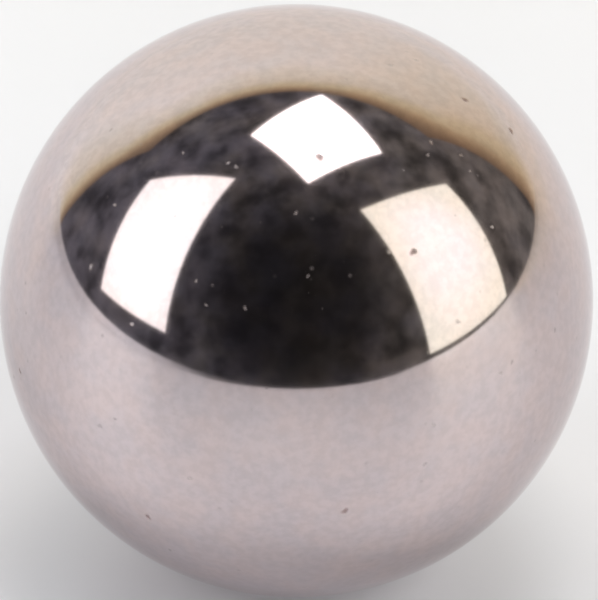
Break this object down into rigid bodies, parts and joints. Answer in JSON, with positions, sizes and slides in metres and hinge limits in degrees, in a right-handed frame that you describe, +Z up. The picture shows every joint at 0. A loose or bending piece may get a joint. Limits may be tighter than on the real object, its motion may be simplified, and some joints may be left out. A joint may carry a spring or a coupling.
{
  "type": "steel ball",
  "caption": "Solid polished steel ball with a bright mirror finish, used as a bearing ball, check ball, detent or rolling weight.",
  "frame": {"origin": "centre of the ball", "axes": "+Z up; every axis through the centre is an axis of symmetry"},
  "size_m": [0.0126, 0.0126, 0.0126],
  "materials": {
    "polished_steel": "polished"
  },
  "bodies": {
    "root": {"ball": "polished_steel"}
  },
  "joints": []
}
